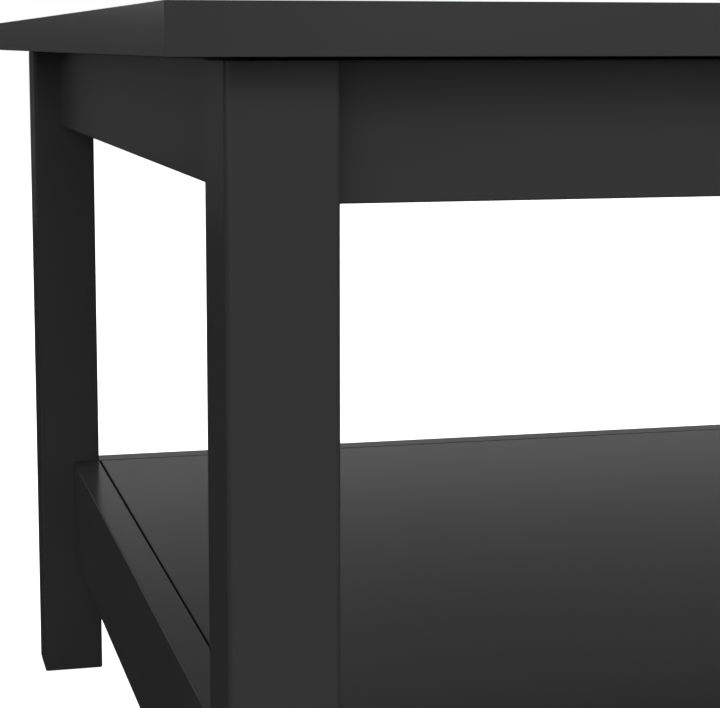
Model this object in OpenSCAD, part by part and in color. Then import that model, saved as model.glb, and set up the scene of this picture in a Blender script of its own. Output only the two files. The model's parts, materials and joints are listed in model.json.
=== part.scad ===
// Lift top coffee table: four square legs, aprons, a lower shelf flush with its rails, and a one-piece
// lid that swings up and forward on a parallel-arm mechanism at each side, over a hidden compartment.
// Millimetres. Origin on the floor under the middle of the table, +X along its length, -Y to the front.

/* [Table] */
// Length of the lid, from side to side
top_l = 1200; // [900:10:1500]
// Depth of the lid, from front to back
top_w = 810; // [660:10:1000]
// Overall height
height = 455; // [380:5:560]
// Thickness of the lid
top_t = 18; // [16:1:25]
// How far the lid reaches past the legs
overhang = 23; // [10:1:40]
// Thickness of the edge banding
band_t = 1; // [0.5:0.1:2]

/* [Legs, aprons and rails] */
// Width of the square legs
leg_w = 40; // [36:1:60]
// Radius on the upright edges of the legs
leg_r = 2; // [0.5:0.5:4]
// Height of the aprons under the lid
apron_h = 50; // [40:1:80]
// Thickness of the aprons
apron_t = 18; // [16:1:22]
// Distance from a leg's outer face back to the apron
apron_set = 16; // [2:1:18]
// Height of the lower rails
rail_h = 70; // [56:1:100]
// Thickness of the lower rails
rail_t = 18; // [16:1:22]

/* [Shelf and compartment] */
// Height of the shelf's upper face above the floor
shelf_z = 151; // [120:1:220]
// Thickness of the shelf
shelf_t = 15; // [12:1:20]
// Width of the seam between the shelf and its rails
seam = 1; // [0.5:0.1:2]
// Height of the cleats under the shelf
cleat_h = 20; // [16:1:26]
// Thickness of the cleats
cleat_t = 18; // [14:1:25]
// Distance from a leg to the end of a cleat
cleat_end = 60; // [40:5:120]
// Thickness of the compartment's floor panel
floor_t = 6; // [4:0.5:8]
// Width of the step that the floor panel lies in
rabbet = 6; // [4:0.5:8]

/* [Lift mechanism] */
// Length of the arms between their pivots
arm_l = 240; // [180:5:280]
// Thickness of the arms
arm_t = 4; // [3:0.5:6]
// Thickness of the bracket plates
plate_t = 3; // [2:0.5:4]
// Distance from the front face of the legs back to the rear lower pivot
pivot_back = 210; // [150:5:260]
// Direction of the front pivot seen from the rear one, in degrees above the rear
link_angle = 155; // [148:1:165]
// Space between the two arms of one side when they lie flat
arm_gap = 4; // [2:0.5:6]
// Space above and below the folded arms
hinge_clear = 2; // [1:0.5:4]
// Radius of the pivot pins
pivot_r = 4; // [3:0.25:5]
// Running clearance of the pins in their bores, on the radius
run = 0.05; // [0.02:0.01:0.1]
// The same at the front upper pivot, which closes the linkage
open_run = 0.1; // [0.05:0.01:0.15]
// Thickness of the washers
washer_t = 1; // [0.5:0.5:2]
// Radius of the tube that joins the two rear arms
tube_r = 8; // [6:0.5:9]
// Distance of the tube from the rear lower pivot
tube_at = 60; // [45:5:120]
// Diameter of the spring wire
wire_d = 2.2; // [1.6:0.1:2.4]
// Turns of each spring, always a half more than a whole number
turns = 5.5; // [3.5:1:5.5]
// Width of the foot of each base bracket
foot_w = 32; // [30:1:40]
// Width of the flange of each lid bracket
flange_w = 24; // [20:1:30]

/* [Fittings] */
// Thickness of the lid bumpers
bumper_t = 1; // [0.5:0.5:3]
// Radius of the lid bumpers
bumper_r = 5; // [3:0.5:8]
// Thickness of the foot pads
pad_t = 1; // [1:0.5:4]
// How far the foot pads stay inside the legs
pad_in = 6; // [4:0.5:10]
// Radius of the dowels
dowel_r = 4; // [3:0.5:4]
// Depth of dowels and bolts in a leg
peg_in = 9; // [8:0.5:10]
// Length of a dowel in a board
peg_out = 20; // [15:1:24]
// Distance from a board's end to its cam nut
cam_at = 24; // [20:1:34]
// Radius of the cam nuts
cam_r = 7.5; // [6:0.5:7.5]
// Height of the cam nuts
cam_h = 12.5; // [11:0.5:13]
// Radius of the screw shanks
screw_r = 1.75; // [1.5:0.25:2]
// Radius of the screw heads
head_r = 3.6; // [3:0.1:4]
// Height of the countersunk heads
head_h = 2; // [1.5:0.1:2.5]

/* [Hidden] */
$fn = 48;
fit = 0.1;                                          // play round everything that doesn't turn
past = 1;                                           // how far a cut runs past a face
out_x = top_l / 2 - overhang;                       // outer faces of the legs
out_y = top_w / 2 - overhang;
lid_z = height - top_t;                             // underside of the lid
leg_top = lid_z - bumper_t;
apron_z = leg_top - apron_h;                        // lower edge of the aprons
floor_z = apron_z + floor_t;                        // upper face of the compartment's floor
rail_set = leg_w - rail_t;                          // rails are flush with the inner faces of the legs
rail_z = shelf_z - rail_h;
rail_step = rail_h / 5;                             // even spacing of the joints in a rail
apron_cam_z = apron_z + floor_t + cam_r + 4.5;      // the cam nuts stay clear of the step for the floor
apron_dowel_z = leg_top - dowel_r - 8;
edge_in = 60;                                       // from a board's end to its first floor screw
inner_u = apron_set + apron_t;                      // inner face of a side apron, from the leg's face
arm_u = inner_u + plate_t + washer_t;               // outer face of the arms
inside_u = arm_u + arm_t + washer_t;                // inner side of the washers on the arms
coil_gap = 0.56;                                    // space between the turns of a spring
coil_u = inside_u + 1.8;                            // where the spring's coil starts
coil_len = turns * (wire_d + coil_gap);
pin_head_u = coil_u + coil_len + 2;
arm_w = (apron_h + bumper_t - floor_t - plate_t - 2 * hinge_clear - arm_gap) / 2;
rise = arm_w + arm_gap;                             // height of the front pivots above the rear ones
back_of = rise / tan(link_angle);                   // negative: the front pivots are further forward
swing = 2 * (link_angle - 90);                      // opening angle of the arms
a_y = -out_y + pivot_back;                          // rear lower pivot
a_z = floor_z + plate_t + hinge_clear + arm_w / 2;
b_y = a_y + back_of;                                // front lower pivot
b_z = a_z + rise;
wall_front = 14;                                    // bracket plate in front of its front pivot
wall_back = 22;                                     // and behind its rear pivot
ear = 14;                                           // lid bracket plate past its pivots
wall_top = leg_top - 2;                             // upper edge of the base brackets
corner_r = 5;                                       // corners of the bracket plates
pin_head_r = 7;
pin_head_t = 2.5;
cap_t = 1.9;                                        // outer heads of the upper pins
cap_gap = 0.1;
rivet_t = 1.5;                                      // riveted ends of the upper pins
rivet_r = min(pin_head_r - 1, hinge_clear + arm_w / 2 - plate_t - 0.4);
spring_r = pivot_r + 1.6 + wire_d / 2;              // middle of the coil's wire
hook_y = 22;                                        // where the spring hooks into the arm
hook_z = 3;
stop_r = 3;
stop_gap = 0.1;                                     // space left when the opened arm meets the stop pin
stop_under = 1.6;                                   // space between the stop pin and the front arm
stop_off = arm_w / 2 + stop_r + stop_gap;
stop_along = (arm_w / 2 + arm_gap - stop_under - stop_r - stop_off * cos(swing)) / sin(swing);
stop_y = a_y + stop_along * cos(swing) - stop_off * sin(swing);
stop_z = a_z + stop_along * sin(swing) + stop_off * cos(swing);
plug_l = 15;
tube_wall = 1.5;
bolt_r = 3;
bolt_l = arm_t + plug_l - 2;
bolt_head_r = 5;
bolt_head_t = 2;
cam_bolt_r = 3;
board_len_x = 2 * (out_x - leg_w);                  // boards between the legs
board_len_y = 2 * (out_y - leg_w);
floor_screw_l = 12;
bracket_screw_l = 14;
lid_screw_l = 15;
cleat_screw_l = cleat_t + 12;
shelf_screw_l = cleat_h + 10;
paint = "#2f2f30";
raw_wood = "#b08f62";
steel = "#9a9ca0";
dark_steel = "#55575b";

// ---- placing ----
module both_sides() {
    children();
    mirror([1, 0, 0]) children();
}
module corners() {
    both_sides() children();
    mirror([0, 1, 0]) both_sides() children();
}
// Draws a shape of the Y-Z plane as a plate on the left side, from u inwards
module plate(u, t) {
    translate([u - out_x, 0, 0]) rotate([90, 0, 90]) linear_extrude(t) children();
}
// A round rod or disc on the left side, along X
module rod(y, z, u, len, r) {
    plate(u, len) translate([y, z]) circle(r);
}
// A board's end at the front left leg: x runs into the board and y towards its inner face
module end_of_x(set, t, z) {
    $board_t = t;
    translate([leg_w - out_x, set + t / 2 - out_y, z]) children();
}
module end_of_y(set, t, z) {
    $board_t = t;
    translate([set + t / 2 - out_x, leg_w - out_y, z]) mirror([1, -1, 0]) children();
}
module dowel_spots(which) {
    if (which == "apron_x" || which == "all") end_of_x(apron_set, apron_t, apron_dowel_z) children();
    if (which == "apron_y" || which == "all") end_of_y(apron_set, apron_t, apron_dowel_z) children();
    if (which == "rail_x" || which == "all") end_of_x(rail_set, rail_t, rail_z + 3 * rail_step) children();
    if (which == "rail_y" || which == "all") end_of_y(rail_set, rail_t, rail_z + 4 * rail_step) children();
}
module cam_spots(which) {
    if (which == "apron_x" || which == "all") end_of_x(apron_set, apron_t, apron_cam_z) children();
    if (which == "apron_y" || which == "all") end_of_y(apron_set, apron_t, apron_cam_z) children();
    if (which == "rail_x" || which == "all") end_of_x(rail_set, rail_t, rail_z + rail_step) children();
    if (which == "rail_y" || which == "all") end_of_y(rail_set, rail_t, rail_z + 2 * rail_step) children();
}
module base_screw_spots() {
    behind = a_y + wall_back - 7;
    for (p = [[b_y - 3, a_z - 3], [a_y - 18, b_z + 1], [behind, a_z - 4], [behind, b_z]])
        translate([inner_u + plate_t - out_x, p[0], p[1]]) rotate([0, -90, 0]) children();
}
module lid_screw_spots() {
    first = b_y + arm_l - ear + 8;
    last = a_y + arm_l + ear - 8;
    near_u = inside_u + plate_t + flange_w / 4 - out_x;
    for (p = [[near_u, first], [near_u + flange_w / 2, (first + last) / 2], [near_u, last]])
        translate([p[0], p[1], lid_z - plate_t]) children();
}
module floor_screw_spots_x() {
    for (i = [-2:2])
        translate([i * (board_len_x / 2 - edge_in) / 2, inner_u - rabbet / 2 - out_y, apron_z]) children();
}
module floor_screw_spots_y() {
    for (i = [-1:1])
        translate([inner_u - rabbet / 2 - out_x, i * (board_len_y / 2 - edge_in), apron_z]) children();
}
module cleat_screw_spots_x() {
    for (i = [-1:1])
        translate([i * 0.4 * board_len_x, leg_w + cleat_t - out_y, shelf_z - shelf_t - cleat_h / 2])
            rotate([90, 0, 0]) children();
}
module cleat_screw_spots_y() {
    for (i = [-1, 1])
        translate([leg_w + cleat_t - out_x, i * 0.3 * board_len_y, shelf_z - shelf_t - cleat_h / 2])
            rotate([0, -90, 0]) children();
}
module shelf_screw_spots_x() {
    for (i = [-1, 1])
        translate([i * 0.2 * board_len_x, leg_w + cleat_t / 2 - out_y, shelf_z - shelf_t - cleat_h]) children();
}
module shelf_screw_spots_y() {
    translate([leg_w + cleat_t / 2 - out_x, 0, shelf_z - shelf_t - cleat_h]) children();
}

// ---- small pieces and their holes ----
// A countersunk screw along +Z with its head flush at zero
module screw(len, c = 0) {
    cylinder(h = head_h, r1 = head_r + c, r2 = screw_r + c);
    cylinder(h = len + c, r = screw_r + c);
}
module screw_hole(len) {
    screw(len, fit);
    translate([0, 0, -past]) cylinder(h = past, r = head_r + fit);
}
module dowel(c = 0) {
    translate([-peg_in - c, 0, 0]) rotate([0, 90, 0])
        cylinder(h = peg_in + peg_out + 2 * c, r = dowel_r + c);
}
module cam_bolt(c = 0) {
    translate([-peg_in - c, 0, 0]) rotate([0, 90, 0]) cylinder(h = peg_in + cam_at + c, r = cam_bolt_r + c);
}
module cam_nut(c = 0) {
    translate([cam_at, $board_t / 2, 0]) rotate([90, 0, 0]) cylinder(h = cam_h + c, r = cam_r + c);
}
module joint_cuts(which) {
    dowel_spots(which) dowel(fit);
    cam_spots(which) cam_bolt(fit);
}
module board_cuts(which) {
    both_sides_of(which) {
        joint_cuts(which);
        cam_spots(which) {
            cam_nut(fit);
            translate([cam_at, $board_t / 2 + past, 0]) rotate([90, 0, 0]) cylinder(h = past, r = cam_r + fit);
        }
    }
}
// Both ends of a board: left and right for one along X, front and rear for one along Y
module both_sides_of(which) {
    children();
    mirror(which == "apron_x" || which == "rail_x" ? [1, 0, 0] : [0, 1, 0]) children();
}
module rounded(w, h, r) {
    translate([r, 0]) square([w - 2 * r, h]);
    translate([0, r]) square([w, h - 2 * r]);
    for (x = [r, w - r], y = [r, h - r]) translate([x, y]) circle(r);
}
// A tube of n sides along a list of points
function unit(v) = v / norm(v);
function tangents(p) = [for (i = [0:len(p) - 1]) unit(p[min(i + 1, len(p) - 1)] - p[max(i - 1, 0)])];
function normals(t, i, acc) = i == len(t) ? acc
    : normals(t, i + 1, concat(acc, [unit(acc[i - 1] - (acc[i - 1] * t[i]) * t[i])]));
module tube_along(p, r, n) {
    t = tangents(p);
    side = normals(t, 1, [unit(cross(t[0], [1, 0, 0]))]);
    last = len(p) - 1;
    points = [for (i = [0:last], k = [0:n - 1])
        p[i] + r * cos(360 * k / n) * side[i] + r * sin(360 * k / n) * cross(t[i], side[i])];
    walls = [for (i = [0:last - 1], k = [0:n - 1])
        [i * n + k, (i + 1) * n + k, (i + 1) * n + (k + 1) % n, i * n + (k + 1) % n]];
    polyhedron(points, concat([[for (k = [0:n - 1]) k]], walls, [[for (k = [n - 1:-1:0]) last * n + k]]));
}

// ---- frame ----
module leg() {
    color(paint) difference() {
        translate([-out_x, -out_y, pad_t]) linear_extrude(leg_top - pad_t) rounded(leg_w, leg_w, leg_r);
        joint_cuts("all");
    }
}
module leg_front_left() { leg(); }
module leg_front_right() { mirror([1, 0, 0]) leg(); }
module leg_rear_left() { mirror([0, 1, 0]) leg(); }
module leg_rear_right() { mirror([0, 1, 0]) mirror([1, 0, 0]) leg(); }

module apron_x() {
    color(paint) difference() {
        translate([-board_len_x / 2, apron_set - out_y, apron_z]) cube([board_len_x, apron_t, apron_h]);
        translate([-board_len_x / 2 - past, apron_set + apron_t - rabbet - out_y, apron_z - past])
            cube([board_len_x + 2 * past, rabbet + past, floor_t + past]);
        board_cuts("apron_x");
        floor_screw_spots_x() screw(floor_screw_l, fit);
    }
}
module apron_y() {
    color(paint) difference() {
        translate([apron_set - out_x, -board_len_y / 2, apron_z]) cube([apron_t, board_len_y, apron_h]);
        translate([inner_u - rabbet - out_x, -board_len_y / 2 - past, apron_z - past])
            cube([rabbet + past, board_len_y + 2 * past, floor_t + past]);
        board_cuts("apron_y");
        floor_screw_spots_y() screw(floor_screw_l, fit);
        base_screw_spots() screw(bracket_screw_l, fit);
    }
}
module apron_front() { apron_x(); }
module apron_rear() { mirror([0, 1, 0]) apron_x(); }
module apron_left() { apron_y(); }
module apron_right() { mirror([1, 0, 0]) apron_y(); }

module compartment_floor() {
    reach_x = out_x - inner_u + rabbet - fit;
    reach_y = out_y - inner_u + rabbet - fit;
    color(paint) difference() {
        translate([-reach_x, -reach_y, apron_z]) cube([2 * reach_x, 2 * reach_y, floor_t]);
        corners() translate([-out_x, -out_y, apron_z - past])
            cube([leg_w + fit, leg_w + fit, floor_t + 2 * past]);
        both_sides() floor_screw_spots_y() screw_hole(floor_screw_l);
        floor_screw_spots_x() screw_hole(floor_screw_l);
        mirror([0, 1, 0]) floor_screw_spots_x() screw_hole(floor_screw_l);
    }
}

module rail_x() {
    color(paint) difference() {
        translate([-board_len_x / 2, rail_set - out_y, rail_z]) cube([board_len_x, rail_t, rail_h]);
        board_cuts("rail_x");
        cleat_screw_spots_x() screw(cleat_screw_l, fit);
    }
}
module rail_y() {
    color(paint) difference() {
        translate([rail_set - out_x, -board_len_y / 2, rail_z]) cube([rail_t, board_len_y, rail_h]);
        board_cuts("rail_y");
        cleat_screw_spots_y() screw(cleat_screw_l, fit);
    }
}
module rail_front() { rail_x(); }
module rail_rear() { mirror([0, 1, 0]) rail_x(); }
module rail_left() { rail_y(); }
module rail_right() { mirror([1, 0, 0]) rail_y(); }

module shelf() {
    color(paint) difference() {
        translate([seam - board_len_x / 2, seam - board_len_y / 2, shelf_z - shelf_t])
            cube([board_len_x - 2 * seam, board_len_y - 2 * seam, shelf_t]);
        both_sides() shelf_screw_spots_y() screw(shelf_screw_l, fit);
        shelf_screw_spots_x() screw(shelf_screw_l, fit);
        mirror([0, 1, 0]) shelf_screw_spots_x() screw(shelf_screw_l, fit);
    }
}
module cleat_x() {
    len = board_len_x - 2 * cleat_end;
    color(raw_wood) difference() {
        translate([-len / 2, leg_w - out_y, shelf_z - shelf_t - cleat_h]) cube([len, cleat_t, cleat_h]);
        cleat_screw_spots_x() screw_hole(cleat_screw_l);
        shelf_screw_spots_x() screw_hole(shelf_screw_l);
    }
}
module cleat_y() {
    len = board_len_y - 2 * cleat_end;
    color(raw_wood) difference() {
        translate([leg_w - out_x, -len / 2, shelf_z - shelf_t - cleat_h]) cube([cleat_t, len, cleat_h]);
        cleat_screw_spots_y() screw_hole(cleat_screw_l);
        shelf_screw_spots_y() screw_hole(shelf_screw_l);
    }
}
module cleat_front() { cleat_x(); }
module cleat_rear() { mirror([0, 1, 0]) cleat_x(); }
module cleat_left() { cleat_y(); }
module cleat_right() { mirror([1, 0, 0]) cleat_y(); }

// ---- fittings ----
module dowels() { color(raw_wood) corners() dowel_spots("all") dowel(); }
module cam_bolts() { color(steel) corners() cam_spots("all") cam_bolt(); }
module cam_nuts() {
    color(steel) corners() cam_spots("all") difference() {
        cam_nut();
        cam_bolt(2 * fit);
    }
}
module floor_screws() {
    color(steel) {
        both_sides() floor_screw_spots_y() screw(floor_screw_l);
        floor_screw_spots_x() screw(floor_screw_l);
        mirror([0, 1, 0]) floor_screw_spots_x() screw(floor_screw_l);
    }
}
module cleat_screws() {
    color(steel) {
        both_sides() cleat_screw_spots_y() screw(cleat_screw_l);
        cleat_screw_spots_x() screw(cleat_screw_l);
        mirror([0, 1, 0]) cleat_screw_spots_x() screw(cleat_screw_l);
    }
}
module shelf_screws() {
    color(steel) {
        both_sides() shelf_screw_spots_y() screw(shelf_screw_l);
        shelf_screw_spots_x() screw(shelf_screw_l);
        mirror([0, 1, 0]) shelf_screw_spots_x() screw(shelf_screw_l);
    }
}
module foot_pads() {
    color("#3a3836") corners() translate([leg_w / 2 - out_x, leg_w / 2 - out_y, 0])
        cylinder(h = pad_t, r = leg_w / 2 - pad_in);
}
module lid_bumpers() {
    color("#222222") corners() translate([leg_w / 2 - out_x, leg_w / 2 - out_y, leg_top])
        cylinder(h = bumper_t, r = bumper_r);
}

// ---- lift mechanism, drawn for the left side ----
module base_bracket() {
    wall_l = a_y + wall_back - b_y + wall_front;
    wall_h = wall_top - floor_z;
    color(dark_steel) difference() {
        union() {
            plate(inner_u, plate_t) translate([b_y - wall_front, floor_z]) {
                rounded(wall_l, wall_h, corner_r);
                square([wall_l, wall_h / 2]);
            }
            translate([inner_u - out_x, b_y - wall_front, floor_z]) cube([foot_w, wall_l, plate_t]);
        }
        rod(a_y, a_z, inner_u - past, plate_t + 2 * past, pivot_r + run);
        rod(b_y, b_z, inner_u - past, plate_t + 2 * past, pivot_r + run);
        rod(stop_y, stop_z, inner_u - past, plate_t + 2 * past, stop_r + run);
        base_screw_spots() screw_hole(bracket_screw_l);
    }
}
module base_bracket_left() { base_bracket(); }
module base_bracket_right() { mirror([1, 0, 0]) base_bracket(); }
module bracket_screws() { color(steel) both_sides() base_screw_spots() screw(bracket_screw_l); }

module lower_pins() {
    color(steel) {
        rod(a_y, a_z, inner_u, pin_head_u - inner_u, pivot_r);
        rod(a_y, a_z, pin_head_u, pin_head_t, pin_head_r + 1);
        rod(b_y, b_z, inner_u, inside_u - inner_u, pivot_r);
        rod(b_y, b_z, inside_u, pin_head_t, pin_head_r);
    }
}
module lower_pins_left() { lower_pins(); }
module lower_pins_right() { mirror([1, 0, 0]) lower_pins(); }

module washer(y, z, u) {
    plate(u, washer_t) translate([y, z]) difference() {
        circle(pin_head_r);
        circle(pivot_r + run);
    }
}
module lower_washers() {
    color("#d8d6cf") both_sides() {
        for (u = [inner_u + plate_t, arm_u + arm_t]) {
            washer(a_y, a_z, u);
            washer(b_y, b_z, u);
        }
    }
}
module upper_washers() {
    color("#d8d6cf") both_sides() {
        washer(a_y + arm_l, a_z, arm_u + arm_t);
        washer(b_y + arm_l, b_z, arm_u + arm_t);
    }
}
module stop_pins() {
    color(steel) both_sides() rod(stop_y, stop_z, inner_u, arm_u + arm_t - inner_u, stop_r);
}

// The spring's wire: a leg on the bracket's foot, the coil, and a leg that hooks into the rear arm
module spring() {
    foot_u = coil_u + coil_len;
    steps = 14 * turns;
    foot_rest = wire_d / 2 + 0.1 - hinge_clear - arm_w / 2;
    coil = [for (i = [0:steps]) let (f = i / steps, a = -90 - 360 * turns * f)
        [foot_u - coil_len * f, spring_r * cos(a), spring_r * sin(a)]];
    path = concat([[foot_u, 20, foot_rest], [foot_u, 12, foot_rest + 1], [foot_u, 4, 0.4 - spring_r]],
        coil,
        [[coil_u, 6, spring_r - 0.5], [coil_u, hook_y - 4, hook_z + 0.8],
         [coil_u - 0.6, hook_y - 1, hook_z + 0.1], [coil_u - 2.2, hook_y, hook_z],
         [arm_u + 0.5, hook_y, hook_z]]);
    color(dark_steel) translate([-out_x, a_y, a_z]) tube_along(path, wire_d / 2, 8);
}
module spring_left() { spring(); }
module spring_right() { mirror([1, 0, 0]) spring(); }

// An arm from its lower pivot straight back to its upper one
module arm_outline(y, z) {
    translate([y, z - arm_w / 2]) square([arm_l, arm_w]);
    translate([y, z]) circle(arm_w / 2);
    translate([y + arm_l, z]) circle(arm_w / 2);
}
module rear_arm() {
    color(dark_steel) plate(arm_u, arm_t) difference() {
        arm_outline(a_y, a_z);
        translate([a_y, a_z]) circle(pivot_r + run);
        translate([a_y + arm_l, a_z]) circle(pivot_r + run);
        translate([a_y + hook_y, a_z + hook_z]) circle(wire_d / 2 + 0.4);
        translate([a_y + tube_at, a_z]) circle(bolt_r + fit);
    }
}
module front_arm() {
    color(dark_steel) plate(arm_u, arm_t) difference() {
        arm_outline(b_y, b_z);
        translate([b_y, b_z]) circle(pivot_r + run);
        translate([b_y + arm_l, b_z]) circle(pivot_r + open_run);
    }
}
module rear_arm_left() { rear_arm(); }
module rear_arm_right() { mirror([1, 0, 0]) rear_arm(); }
module front_arm_left() { front_arm(); }
module front_arm_right() { mirror([1, 0, 0]) front_arm(); }

module cross_tube() {
    color(dark_steel) plate(arm_u + arm_t, 2 * (out_x - arm_u - arm_t))
        translate([a_y + tube_at, a_z]) difference() {
            circle(tube_r);
            circle(tube_r - tube_wall);
        }
}
module tube_plugs() {
    color(steel) both_sides() plate(arm_u + arm_t, plug_l)
        translate([a_y + tube_at, a_z]) difference() {
            circle(tube_r - tube_wall - fit);
            circle(bolt_r + fit);
        }
}
module tube_bolts() {
    color(steel) both_sides() {
        rod(a_y + tube_at, a_z, arm_u - bolt_head_t, bolt_head_t, bolt_head_r);
        rod(a_y + tube_at, a_z, arm_u, bolt_l, bolt_r);
    }
}

// ---- lid ----
module lid_board() {
    color(paint) difference() {
        translate([band_t - top_l / 2, band_t - top_w / 2, lid_z])
            cube([top_l - 2 * band_t, top_w - 2 * band_t, top_t]);
        both_sides() lid_screw_spots() screw(lid_screw_l, fit);
    }
}
module band_x() {
    color(paint) translate([-top_l / 2, -top_w / 2, lid_z]) cube([top_l, band_t, top_t]);
}
module band_y() {
    color(paint) translate([-top_l / 2, band_t - top_w / 2, lid_z]) cube([band_t, top_w - 2 * band_t, top_t]);
}
module band_front() { band_x(); }
module band_rear() { mirror([0, 1, 0]) band_x(); }
module band_left() { band_y(); }
module band_right() { mirror([1, 0, 0]) band_y(); }

module lid_bracket() {
    ear_y = b_y + arm_l - ear;
    ear_l = 2 * ear - back_of;
    low_z = a_z - arm_w / 2;
    color(dark_steel) difference() {
        union() {
            plate(inside_u, plate_t) translate([ear_y, low_z]) {
                rounded(ear_l, lid_z - low_z, corner_r);
                translate([0, (lid_z - low_z) / 2]) square([ear_l, (lid_z - low_z) / 2]);
            }
            translate([inside_u - out_x, ear_y, lid_z - plate_t]) cube([flange_w + plate_t, ear_l, plate_t]);
        }
        rod(a_y + arm_l, a_z, inside_u - past, plate_t + 2 * past, pivot_r + run);
        rod(b_y + arm_l, b_z, inside_u - past, plate_t + 2 * past, pivot_r + run);
        lid_screw_spots() screw_hole(lid_screw_l);
    }
}
module lid_bracket_left() { lid_bracket(); }
module lid_bracket_right() { mirror([1, 0, 0]) lid_bracket(); }
module lid_screws() { color(steel) both_sides() lid_screw_spots() screw(lid_screw_l); }

module upper_pin(y, z) {
    rod(y, z, arm_u - cap_gap - cap_t, cap_t, pin_head_r);
    rod(y, z, arm_u - cap_gap, inside_u + plate_t - arm_u + cap_gap, pivot_r);
    rod(y, z, inside_u + plate_t, rivet_t, rivet_r);
}
module upper_pins() {
    color(steel) {
        upper_pin(a_y + arm_l, a_z);
        upper_pin(b_y + arm_l, b_z);
    }
}
module upper_pins_left() { upper_pins(); }
module upper_pins_right() { mirror([1, 0, 0]) upper_pins(); }

leg_front_left();
leg_front_right();
leg_rear_left();
leg_rear_right();
apron_front();
apron_rear();
apron_left();
apron_right();
compartment_floor();
rail_front();
rail_rear();
rail_left();
rail_right();
shelf();
cleat_front();
cleat_rear();
cleat_left();
cleat_right();
dowels();
cam_bolts();
cam_nuts();
floor_screws();
cleat_screws();
shelf_screws();
foot_pads();
lid_bumpers();
base_bracket_left();
base_bracket_right();
bracket_screws();
lower_pins_left();
lower_pins_right();
lower_washers();
stop_pins();
spring_left();
spring_right();
rear_arm_left();
rear_arm_right();
cross_tube();
tube_plugs();
tube_bolts();
front_arm_left();
front_arm_right();
lid_board();
band_front();
band_rear();
band_left();
band_right();
lid_bracket_left();
lid_bracket_right();
lid_screws();
upper_pins_left();
upper_pins_right();
upper_washers();
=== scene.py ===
import json
import math

import bmesh
import bpy
from mathutils import Matrix, Vector
from mathutils.geometry import tessellate_polygon


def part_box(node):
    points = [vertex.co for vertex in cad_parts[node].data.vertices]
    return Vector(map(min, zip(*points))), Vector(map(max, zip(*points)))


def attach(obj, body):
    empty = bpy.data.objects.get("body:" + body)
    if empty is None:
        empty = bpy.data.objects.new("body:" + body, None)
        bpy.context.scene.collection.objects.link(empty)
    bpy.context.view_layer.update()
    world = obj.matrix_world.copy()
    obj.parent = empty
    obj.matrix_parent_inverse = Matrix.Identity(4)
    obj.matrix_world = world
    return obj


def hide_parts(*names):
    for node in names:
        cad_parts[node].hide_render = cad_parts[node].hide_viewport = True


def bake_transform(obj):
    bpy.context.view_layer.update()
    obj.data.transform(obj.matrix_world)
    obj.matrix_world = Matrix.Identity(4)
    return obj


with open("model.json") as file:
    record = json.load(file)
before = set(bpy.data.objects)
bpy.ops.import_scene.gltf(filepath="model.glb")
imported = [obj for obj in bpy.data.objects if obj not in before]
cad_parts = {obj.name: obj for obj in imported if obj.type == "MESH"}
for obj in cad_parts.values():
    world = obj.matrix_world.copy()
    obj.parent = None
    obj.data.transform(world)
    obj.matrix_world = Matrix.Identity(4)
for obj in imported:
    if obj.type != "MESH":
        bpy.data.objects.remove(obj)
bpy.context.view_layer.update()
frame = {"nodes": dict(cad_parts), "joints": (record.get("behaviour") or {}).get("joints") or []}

scene = bpy.context.scene
mm = 0.001
print("frame loaded:", len(frame["nodes"]), "nodes")


# camera: standing at the front left corner, a little lower than the lid
camera = {
    "place": (-0.6955, -1.0377, 0.4412),
    "turn": 14.13,       # degrees to the right of straight ahead
    "tilt": -7.2,
    "lens": 99.83,
    "shiftY": -0.0806,
}


def newFinish(name, roughness=0.5, metallic=0.0, specular=0.5):
    mat = bpy.data.materials.new(name)
    mat.use_nodes = True
    shader = mat.node_tree.nodes["Principled BSDF"]
    shader.inputs["Roughness"].default_value = roughness
    shader.inputs["Metallic"].default_value = metallic
    shader.inputs["Specular IOR Level"].default_value = specular
    return mat, shader


def aim(obj, target):
    obj.rotation_mode = "QUATERNION"
    obj.rotation_quaternion = (Vector(target) - obj.location).to_track_quat("-Z", "Y")


def makeCamera():
    data = bpy.data.cameras.new("tableCamera")
    eye = bpy.data.objects.new("tableCamera", data)
    scene.collection.objects.link(eye)
    eye.location = camera["place"]
    turn, tilt = math.radians(camera["turn"]), math.radians(camera["tilt"])
    ahead = Vector((math.sin(turn) * math.cos(tilt), math.cos(turn) * math.cos(tilt), math.sin(tilt)))
    aim(eye, eye.location + ahead)
    data.lens = camera["lens"]
    data.shift_y = camera["shiftY"]
    scene.camera = eye


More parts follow.
